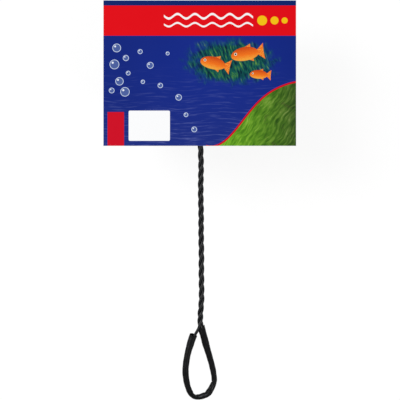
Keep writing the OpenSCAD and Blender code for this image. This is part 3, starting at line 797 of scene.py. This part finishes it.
# The bag's cloth: four walls round a closed ring, and the bottom between their lowest points
COLS_W, COLS_L, ROWS = 36, 28, 28
SLANT = BAG_DEPTH / math.cos(LEAN)
NRING = 2 * (COLS_W + COLS_L)
C_NEAR, C_RIGHT, C_FAR, C_LEFT = 0, COLS_W, COLS_W + COLS_L, 2 * COLS_W + COLS_L


def inset(z):
    return -z * math.tan(LEAN)


def bag_r(z):
    return np.maximum(BAG_R, CORNER_R - inset(z))


def side_points(half_len, half_away, z, cols):
    """One wall's points at height z in its own axes, but for its last: (away, along)."""
    r = bag_r(z)
    flat, away = half_len - inset(z) - r, half_away - inset(z)
    total = 2 * flat + 2 * (r * math.pi / 4)
    pts = []
    for j in range(cols):
        s = -total / 2 + total * j / cols
        if abs(s) <= flat:
            pts.append((away, s))
        else:
            a = (abs(s) - flat) / r
            pts.append((away - r + r * math.cos(a), math.copysign(flat + r * math.sin(a), s)))
    return pts


def ring_at(z):
    """Closed ring: near side to the right, right side up, far side back, left side down."""
    wide = side_points(AXIS_HW, AXIS_HL, z, COLS_W)
    long = side_points(AXIS_HL, AXIS_HW, z, COLS_L)
    pts = [(s, -a) for a, s in wide] + long + [(-s, a) for a, s in wide] + [(-a, -s) for a, s in long]
    return np.array([(x, y + MID_Y, z) for x, y in pts])


def stretch(first, cols):
    """The ring's columns from the first one on."""
    return np.arange(first, first + cols + 1) % NRING


row_z = -BAG_DEPTH * np.linspace(0, 1, ROWS + 1)
walls = np.array([ring_at(z) for z in row_z])


def bottom_patch(edge):
    """Grid over the bottom between the lowest ring's four sides: [along length, across width]."""
    near, right = edge[stretch(C_NEAR, COLS_W)], edge[stretch(C_RIGHT, COLS_L)]
    far, left = edge[stretch(C_FAR, COLS_W)][::-1], edge[stretch(C_LEFT, COLS_L)][::-1]
    u = np.linspace(0, 1, COLS_W + 1)[None, :, None]
    v = np.linspace(0, 1, COLS_L + 1)[:, None, None]
    a = near[None] * (1 - v) + far[None] * v
    b = left[:, None] * (1 - u) + right[:, None] * u
    c = near[0] * (1 - u) * (1 - v) + near[-1] * u * (1 - v) + far[0] * (1 - u) * v + far[-1] * u * v
    return a + b - c


floor_grid = bottom_patch(walls[-1])
# The cloth is simulated at ten times its size, and no point moves farther than this in mm
SIM_SCALE, SIM_FRAMES, MOST_MOVE = 10.0, 46, 4.0


def simulate(walls, floor_grid):
    """Hangs the bag from its hem as cloth, a little fuller than its outline, and returns both grids."""
    rows, cols = walls.shape[:2]
    verts = walls.reshape(-1, 3)
    inner = floor_grid[1:-1, 1:-1]
    every = np.vstack([verts, inner.reshape(-1, 3)])
    # The bottom's border shares the points of the lowest ring
    last = (rows - 1) * cols
    index = np.empty(floor_grid.shape[:2], int)
    index[:, -1] = last + stretch(C_RIGHT, COLS_L)
    index[:, 0] = last + stretch(C_LEFT, COLS_L)[::-1]
    index[0] = last + stretch(C_NEAR, COLS_W)
    index[-1] = last + stretch(C_FAR, COLS_W)[::-1]
    index[1:-1, 1:-1] = len(verts) + np.arange(inner[..., 0].size).reshape(inner.shape[:2])
    corners = (index[:-1, :-1], index[:-1, 1:], index[1:, 1:], index[1:, :-1])
    faces = grid_faces(rows, cols) + np.stack(corners, -1).reshape(-1, 4).tolist()
    # A slight push this way and that lets the slack fall into soft folds
    turn = np.arctan2(every[:, 1] - MID_Y, every[:, 0])
    deep = np.clip(-every[:, 2] / BAG_DEPTH, 0, 1)
    wavy = 0.9 * np.sin(turn * 9 + 0.6) + 0.7 * np.sin(turn * 17 + 2.1 + deep * 2)
    push = np.stack([np.cos(turn) * wavy * deep, np.sin(turn) * wavy * deep, np.zeros_like(turn)], -1)
    mesh = bpy.data.meshes.new("bag_cloth")
    mesh.from_pydata(((every + push - [0, MID_Y, 0]) * MM * SIM_SCALE).tolist(), [], faces)
    ob = link("bag_cloth", mesh)
    # What the hem holds is pinned, where it was
    held = np.nonzero(every[:, 2] > -HEM_DROP - 0.5)[0].tolist()
    ob.vertex_groups.new(name="pins").add(held, 1.0, "REPLACE")
    for i in held:
        mesh.vertices[i].co -= Vector((push[i] * MM * SIM_SCALE).tolist())
    cloth = ob.modifiers.new("cloth", "CLOTH")
    c = cloth.settings
    c.quality = 8
    c.mass = 0.12
    c.tension_stiffness = c.compression_stiffness = 22
    c.shear_stiffness = 6
    c.bending_stiffness = 0.25
    c.tension_damping = c.compression_damping = 12
    c.air_damping = 4
    c.vertex_group_mass = "pins"
    c.shrink_min = -0.012
    c.effector_weights.gravity = 0.55
    cloth.collision_settings.use_collision = False
    scene = bpy.context.scene
    scene.frame_start, scene.frame_end = 1, SIM_FRAMES
    cloth.point_cache.frame_start, cloth.point_cache.frame_end = 1, SIM_FRAMES
    for at in range(1, SIM_FRAMES + 1):
        scene.frame_set(at)
    got = ob.evaluated_get(bpy.context.evaluated_depsgraph_get())
    co = np.empty(len(every) * 3)
    got.data.vertices.foreach_get("co", co)
    move = co.reshape(-1, 3) / (MM * SIM_SCALE) + [0, MID_Y, 0] - every
    bpy.data.objects.remove(ob)
    bpy.data.meshes.remove(mesh)
    scene.frame_set(1)
    far = np.linalg.norm(move, axis=1, keepdims=True)
    co = every + move * np.minimum(1, MOST_MOVE / np.maximum(far, 1e-9))
    return co[:rows * cols].reshape(rows, cols, 3), co[index]


bag_walls, bag_floor = simulate(walls, floor_grid)

# The far wall lies close to the card's flap, whose staples hold it
FLAP_REACH, FLAP_EASE, FLAP_GAP = 36, 8, 0.1
on_far = stretch(C_FAR, COLS_W)
for r, z in enumerate(row_z):
    if z > -FLAP_REACH:
        limit = walls[r, on_far, 1] + FLAP_GAP
        y = bag_walls[r, on_far, 1]
        bag_walls[r, on_far, 1] = y + np.minimum(limit - y, 0) * ease((FLAP_REACH + z) / FLAP_EASE)


def smooth_lookup(grid, t, s):
    """Points of a smooth surface through a grid, at row t and column s, both as fractions of the grid."""
    rows, cols = grid.shape[:2]
    y, x = np.clip(t, 0, 1) * (rows - 1), np.clip(s, 0, 1) * (cols - 1)
    iy, ix = np.minimum(np.floor(y).astype(int), rows - 2), np.minimum(np.floor(x).astype(int), cols - 2)

    def weights(f):
        return np.stack([-f / 2 + f ** 2 - f ** 3 / 2, 1 - 2.5 * f ** 2 + 1.5 * f ** 3,
                         f / 2 + 2 * f ** 2 - 1.5 * f ** 3, -f ** 2 / 2 + f ** 3 / 2], -1)

    pad = np.pad(grid, ((1, 1), (1, 1), (0, 0)), mode="reflect", reflect_type="odd")
    wy, wx = weights(y - iy), weights(x - ix)
    out = np.zeros((*np.shape(y), 3))
    for a in range(4):
        for b in range(4):
            out += (wy[..., a] * wx[..., b])[..., None] * pad[iy + a, ix + b]
    return out


def surface(grid, t, s):
    """Points of a smooth surface through a grid, and its normals there."""
    near = 0.004
    down = smooth_lookup(grid, np.minimum(t + near, 1), s) - smooth_lookup(grid, np.maximum(t - near, 0), s)
    over = smooth_lookup(grid, t, np.minimum(s + near, 1)) - smooth_lookup(grid, t, np.maximum(s - near, 0))
    return smooth_lookup(grid, t, s), unit(np.cross(down, over))


def half_width(half, v):
    """Half a wall's width along its own surface, v mm down its slant."""
    z = -v * math.cos(LEAN)
    r = bag_r(z)
    return half - inset(z) - r + r * math.pi / 4


# Netting: how far its wales lie apart, the length of their zigzag, the yarn, points in one zigzag,
# and the fewest points of a wale
PITCH, PERIOD, YARN_R, PER_PERIOD, FEWEST = 1.4, 3.2, 0.26, 5, 4


def zigzag(v):
    """Square-ish wave with slanted flanks between -1 and 1."""
    return np.interp((v / PERIOD) % 1.0, [0, 0.13, 0.37, 0.63, 0.87, 1.0], [1, 1, -1, -1, 1, 1])


def strands(across, v0, v1, half_at, place):
    """Wales of the netting on one panel: each runs along v and touches its neighbours in turn."""
    verts, faces = [], []
    base = 0
    count = int(across / PITCH) + 1
    for i in range(-count, count + 1):
        v = np.arange(v0, v1 + 1e-6, PERIOD / PER_PERIOD)
        x = (i + 0.5) * PITCH + (1 if i % 2 else -1) * (PITCH / 2 - 0.10) * zigzag(v)
        # The longest unbroken stretch on the panel
        on = np.nonzero(np.abs(x) <= half_at(v) - 0.2)[0]
        run = max(np.split(on, np.nonzero(np.diff(on) > 1)[0] + 1), key=len)
        if len(run) < FEWEST:
            continue
        p, n = place(v[run], x[run])
        d = directions(p)
        b = unit(np.cross(d, n))
        n = np.cross(b, d)
        ring = [p + YARN_R * (math.cos(a) * b + math.sin(a) * n) for a in np.radians((90, 210, 330))]
        verts.append(np.stack(ring, 1).reshape(-1, 3))
        faces += grid_faces(len(p), 3, base=base)
        base += len(p) * 3
    return np.vstack(verts), faces


# How far down its slant each wall's netting begins, inside the hem
NET_TOP = 2.2
for name, node, first, cols, half in (("net_near", "net_near_wall", C_NEAR, COLS_W, AXIS_HW),
                                      ("net_right", "net_right_gusset", C_RIGHT, COLS_L, AXIS_HL),
                                      ("net_far", "net_far_wall", C_FAR, COLS_W, AXIS_HW),
                                      ("net_left", "net_left_gusset", C_LEFT, COLS_L, AXIS_HL)):
    grid = bag_walls[:, stretch(first, cols)]

    def place(v, x):
        return surface(grid, v * math.cos(LEAN) / BAG_DEPTH, (x / half_width(half, v) + 1) / 2)

    verts, faces = strands(half, NET_TOP, SLANT, lambda v: half_width(half, v), place)
    if name == "net_near":
        # The cloth's edge is bound where the hem leaves it bare, beside the shaft
        for low in (2.5, 3.6):
            x = np.linspace(-8.4, 8.4, 43)
            line, _ = place(low + 0.12 * np.sin(x * 4.5), x)
            faces += grid_faces(len(x), 6, base=len(verts))
            verts = np.vstack([verts, tube_grid(line, 0.40, 0.46, 6).reshape(-1, 3)])
    ob = make(name + "_mesh", verts, faces, [net_mat], "net", [node])
    wide, low = 2 * half_width(half, 0.0), 2 * half_width(half, SLANT)

BOT_HW, BOT_HL = AXIS_HW - inset(-BAG_DEPTH), AXIS_HL - inset(-BAG_DEPTH)
verts, faces = strands(BOT_HW, -BOT_HL, BOT_HL, lambda v: np.full_like(v, BOT_HW),
                       lambda v, x: surface(bag_floor, (v / BOT_HL + 1) / 2, (x / BOT_HW + 1) / 2))
ob = make("net_bottom_mesh", verts, faces, [net_mat], "net", ["net_bottom"])


# Hem
def mouth_path(step):
    """The mouth's outline at the wire, from the near side's gap round to it again, and which way is out."""
    hw, hl, r = AXIS_HW, AXIS_HL, CORNER_R
    x, y = hw - r, hl - r
    gap = BEND_R + PART_X + 0.3
    pieces = []

    def line(a, b, n):
        a, b = np.array(a), np.array(b)
        m = max(2, int(np.linalg.norm(b - a) / step))
        for i in range(m):
            pieces.append((*(a + (b - a) * i / m), *n))

    def arc(cx, cy, start):
        m = max(4, int(r * math.radians(90) / step))
        for i in range(m):
            a = math.radians(start + 90 * i / m)
            pieces.append((cx + r * math.cos(a), cy + r * math.sin(a), math.cos(a), math.sin(a)))

    line((gap, -hl), (x, -hl), (0, -1))
    arc(x, -y, -90)
    line((hw, -y), (hw, y), (1, 0))
    arc(x, y, 0)
    line((x, hl), (-x, hl), (0, 1))
    arc(-x, y, 90)
    line((-hw, y), (-hw, -y), (-1, 0))
    arc(-x, -y, 180)
    line((-x, -hl), (-gap, -hl), (0, -1))
    pieces.append((-gap, -hl, 0, -1))
    p = np.array(pieces)
    return p[:, :2] + [0, MID_Y], p[:, 2:]


def corner_share(p):
    """How far a place is into a corner, from 0 on the straight runs to 1 at its middle."""
    dx = np.abs(p[:, 0]) - (AXIS_HW - CORNER_R)
    dy = np.abs(p[:, 1] - MID_Y) - (AXIS_HL - CORNER_R)
    a = np.arctan2(np.maximum(dy, 0), np.maximum(dx, 1e-9))
    return np.where((dx > 0) & (dy > 0), np.sin(2 * a), 0.0)


def hem_place(p, n, u, w):
    """Point of the hem's section: u outwards and w up, turned by the bag's lean."""
    out = u * math.cos(LEAN) + w * math.sin(LEAN)
    up = w * math.cos(LEAN) - u * math.sin(LEAN)
    return np.stack([p[..., 0] + n[..., 0] * out, p[..., 1] + n[..., 1] * out, up], -1)


def looseness(w):
    """0 near the wire and 1 at the hem's foot."""
    return ease((-w - 1.0) / 7.0)


def wave(run, length, height, shift=0):
    return height * np.sin(run * 2 * np.pi / length + shift)


def ripple(run, corner, loose):
    """How far the hem stands out or in: at each stitch, in slow waves, and gathered in the corners."""
    small = wave(run, 3.0, 0.10) + wave(run, 23, 0.16, 1) + wave(run, 3.7, corner * 0.34)
    return small * loose + wave(run, 41, 0.12)


def hem_outline():
    """Middle line of the folded tape, from the foot of the outer leg over the wire to the inner foot."""
    r = HEM_R - TAPE_T / 2 - 0.12
    leg = HEM_HALF - TAPE_T / 2
    down = np.linspace(-HEM_DROP, -r * 0.95, 9)
    a = np.linspace(-0.62, math.pi + 0.62, 19)
    return np.vstack([np.column_stack([np.full(9, leg), down]),
                      np.column_stack([r * np.cos(a), r * np.sin(a)]),
                      np.column_stack([np.full(9, -leg), down[::-1]])])


hem_p, hem_n = mouth_path(0.8)
hem_run = length_along(hem_p)
hem_mid = hem_outline()
hem_across = length_along(hem_mid)
STITCH_ROWS = (-3.3, -7.6)


def hem():
    mid = hem_mid
    d = directions(mid)
    loose = looseness(mid[:, 1])
    run = hem_run[:, None]
    out = ripple(run, corner_share(hem_p)[:, None], loose)
    # The stitches pull both legs in
    pinch = (-0.20 * np.exp(-((mid[:, 1] - STITCH_ROWS[0]) / 0.7) ** 2)
             - 0.14 * np.exp(-((mid[:, 1] - STITCH_ROWS[1]) / 0.6) ** 2))
    out = out + pinch * np.where(mid[:, 0] > 0, 1.0, -1.0)
    drop = (wave(run, 57, 0.28, 2) + wave(run, 19, 0.18)) * loose
    outer, inner = (hem_place(hem_p[:, None], hem_n[:, None], mid[:, 0] + d[:, 1] * half + out,
                              mid[:, 1] - d[:, 0] * half + drop) for half in (TAPE_T / 2, -TAPE_T / 2))
    ring = np.concatenate([outer, inner[:, ::-1]], 1)
    uv = grid_uv(hem_run * MM, np.concatenate([hem_across, hem_across[::-1]]) * MM)
    return make("hem_tape_soft", ring.reshape(-1, 3), rod_faces(*ring.shape[:2], flip=True), [hem_mat],
                "net", ["hem_tape_far", "hem_tape_left", "hem_tape_right", "hem_tape_near_left",
                               "hem_tape_near_right", "hem_corners"], uv=uv)


hem_ob = hem()


def stitches():
    """Two rows of lockstitch through the hem, seen on both of its faces."""
    verts, faces = [], []
    step, rings_each, sides = 3.0, 6, 6
    lift = 0.16 * np.sin(np.linspace(0, np.pi, rings_each)) - 0.14
    for face in (1, -1):
        for w in STITCH_ROWS:
            for i in range(int((hem_run[-1] - 2) / step)):
                s = 1.2 + i * step + np.linspace(0, 2.35, rings_each)
                p = points_at(s, hem_run, hem_p)
                n = unit(points_at(s, hem_run, hem_n))
                u = face * (HEM_HALF - 0.18 + lift + 0.12) + ripple(s, corner_share(p), looseness(w))
                line = hem_place(p, n, u, np.full_like(u, w))
                faces += rod_faces(rings_each, sides, base=len(verts) * rings_each * sides)
                verts.append(tube_grid(line, 0.19, 0.17, sides).reshape(-1, 3))
    return make("hem_stitching", np.vstack(verts), faces, [thread_mat], "net")


stitches()


# Seams of the bag
SEAM_TOP, SEAM_R, SEAM_STEP, THREAD_PITCH = 7.3, 0.78, 0.36, 1.5


def seam(name, first, node):
    """Oversewn ridge down one corner, along the bottom and up the next corner."""
    edge = stretch(first, COLS_L)

    def corner(c):
        """Down one corner from inside the hem."""
        t = (SEAM_TOP + row_z[1]) / (row_z[1] - row_z[2])
        return np.vstack([bag_walls[1, c] * (1 - t) + bag_walls[2, c] * t, bag_walls[2:, c]])

    line = np.vstack([corner(edge[0])[:-1], bag_walls[-1, edge], corner(edge[-1])[::-1][1:]])
    # Outward: away from the bag's middle, and down under its edge
    out = unit((line - [0, MID_Y, 0]) * [1, 1, 0])
    foot = ease((-line[:, 2] - (BAG_DEPTH - 6)) / 5)[:, None]
    out = unit(out * (1 - 0.45 * foot) + np.array([0, 0, -0.25]) * foot)
    line = line + out * (0.12 + 0.83 * ease((-line[:, 2] - 8.0) / 5.5))[:, None]
    line = catmull(smooth_line(line, 2), 3)
    run = length_along(line)
    even = np.arange(0, run[-1], SEAM_STEP)
    line = smooth_line(points_at(even, run, line), 6)
    sides = 10
    turns = np.pi * even[:, None] / THREAD_PITCH - ring_angles(sides) / 2
    wrap = 0.13 * np.abs(np.sin(turns)) ** 0.7 - 0.06
    return rod(name, line, SEAM_R, sides, thread_mat, "seam_thread", node, up=(1.0, 0.0, 0.0), shape=wrap)


seam("seam_right_oversewn", C_RIGHT, "seam_right")
seam("seam_left_oversewn", C_LEFT, "seam_left")


# Header card
FACE_ROWS, FOLD_ROWS, FLAP_ROWS, CARD_COLS = 48, 13, 10, 61


def card():
    """One sheet of board: the printed face over the mouth, folded down behind the far wall."""
    turn = math.pi / 2 + FLAP_LEAN
    tangent = FOLD_R * math.tan(turn / 2)
    y_arc = CARD_FAR_Y - tangent
    # Its middle line, as y, z and how far it has turned
    a = turn * np.arange(FOLD_ROWS) / (FOLD_ROWS - 1)
    fold_y, fold_z = y_arc + FOLD_R * np.sin(a), FOLD_Z - FOLD_R * (1 - np.cos(a))
    end_y, end_z = fold_y[-1], fold_z[-1]
    down = (FLAP_L - tangent) * np.arange(1, FLAP_ROWS + 1) / FLAP_ROWS
    ys = np.concatenate([CARD_NEAR_Y + (y_arc - CARD_NEAR_Y) * np.arange(FACE_ROWS) / FACE_ROWS,
                         fold_y, end_y - math.sin(FLAP_LEAN) * down])
    zs = np.concatenate([np.full(FACE_ROWS, FOLD_Z), fold_z, end_z - math.cos(FLAP_LEAN) * down])
    turned = np.concatenate([np.zeros(FACE_ROWS), a, np.full(FLAP_ROWS, turn)])
    # The print's layout ends at the fold
    run = length_along(np.column_stack([ys, zs]))
    print_run = run * ((CARD_FAR_Y - CARD_NEAR_Y) / (run[FACE_ROWS] + FOLD_R * turn / 2))
    # The face is a little wavy
    u = np.linspace(0, 1, CARD_COLS)
    along = ((ys - CARD_NEAR_Y) / (CARD_FAR_Y - CARD_NEAR_Y))[:, None]
    loose = (ease((CARD_FAR_Y - 4 - ys) / 30) * (turned == 0))[:, None]
    lift = loose * (0.34 * np.sin(np.pi * u) * (1 - 0.3 * along) + 0.22 * (2 * u - 1) ** 6 * (1 - along)
                    + 0.06 * np.sin(u * 9 + along * 5) - 0.05)
    x = CARD_X - CARD_W / 2 + CARD_W * u
    skins = []
    for off in (CARD_T / 2, -CARD_T / 2):
        y, z = (ys + np.sin(turned) * off)[:, None], (zs + np.cos(turned) * off)[:, None] + lift
        skins.append(np.stack(np.broadcast_arrays(x, y, z), -1))
    # Each row runs over the printed face and back over the plain one
    grid = np.concatenate([skins[0], skins[1][:, ::-1]], 1)
    rows, cols = grid.shape[:2]
    faces = grid_faces(rows, cols)
    mats = [0 if i % cols < CARD_COLS - 1 else 1 for i in range(len(faces))]
    for c in range(CARD_COLS - 1):
        near = (c, cols - 1 - c, cols - 2 - c, c + 1)
        faces += [near, tuple(i + (rows - 1) * cols for i in near[::-1])]
        mats += [1, 1]
    uv = grid_uv(print_run * MM, np.concatenate([u, u[::-1]]) * CARD_W * MM)[:, ::-1]
    ob = make("folded_card", grid.reshape(-1, 3), faces, [print_mat, board_mat], None,
              ["header_card", "card_back_flap"], uv=uv, mat_index=mats)
    ob.data.set_sharp_from_angle(angle=math.radians(50))
    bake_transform(ob)


card()

# CAD nodes that stay
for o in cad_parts.values():
    if not o.hide_render:
        o.data.materials.clear()
        o.data.materials.append(steel_mat)

# Studio
low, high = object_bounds()
WHITE = (1, 1, 1)


def join_shaders(tree, share, first, second, output):
    mix = new_node(tree, "MixShader", {0: share, 1: first.outputs[0], 2: second.outputs[0]})
    tree.links.new(mix.outputs[0], tree.nodes[output].inputs["Surface"])


def stage_floor():
    """A pale floor that shows white and keeps the object's shadow."""
    p = Paint("studio_floor", Base_Color=(0.82, 0.82, 0.82, 1), Roughness=0.9, Specular_IOR_Level=0.0)
    glow = new_node(p.t, "Emission", {"Color": WHITE, "Strength": 1.08})
    rays = new_node(p.t, "LightPath", {}).outputs
    kinds = ("Camera", "Glossy", "Transmission")
    seen, glossy, through = (Val(p.t, rays[f"Is {kind} Ray"]) for kind in kinds)
    join_shaders(p.t, seen.max(glossy).max(through) * 0.80, p.shader, glow, "Material Output")
    mesh = bpy.data.meshes.new("studio_floor")
    z = low.z - 0.0006
    s = 3.0
    mesh.from_pydata([(-s, -s, z), (s, -s, z), (s, s, z), (-s, s, z)], [], [(0, 1, 2, 3)])
    mesh.materials.append(p.material)
    link("studio_floor", mesh)


stage_floor()

# The world lights the object softly and shows white
world = bpy.data.worlds.new("studio")
bpy.context.scene.world = world
world.use_nodes = True
tree = world.node_tree
lit = tree.nodes["Background"]
lit.inputs["Strength"].default_value = 0.42
shown = new_node(tree, "Background", {"Strength": 1.0})
for node in (lit, shown):
    plug(tree, WHITE, node.inputs["Color"])
join_shaders(tree, new_node(tree, "LightPath", {}).outputs["Is Camera Ray"], lit, shown, "World Output")


def area(name, place, aim, size, power):
    light = bpy.data.lights.new(name, "AREA")
    light.shape = "RECTANGLE"
    light.size, light.size_y = size
    light.energy = power
    ob = link(name, light)
    ob.location = place
    ob.rotation_mode = "QUATERNION"
    ob.rotation_quaternion = (Vector(aim) - Vector(place)).to_track_quat("-Z", "Y")


area("key_light", (-1.3, 0.9, 1.9), (0, 0.25, 0), (1.0, 1.4), 34)
area("fill_light", (1.5, -0.6, 1.5), (0, 0.2, 0), (1.4, 1.4), 14)

# Distance of the camera and width of the view, in metres
DIST, VIEW_W = 2.5, 0.4366
cam_data = bpy.data.cameras.new("camera")
cam_data.sensor_width = 36.0
cam_data.lens = 36.0 * DIST / VIEW_W
cam_data.clip_start, cam_data.clip_end = 0.05, 20
cam = link("camera", cam_data)
cam.location = (-0.00033, 0.2114, DIST)
bpy.context.scene.camera = cam
bpy.context.scene.view_settings.view_transform = "Standard"
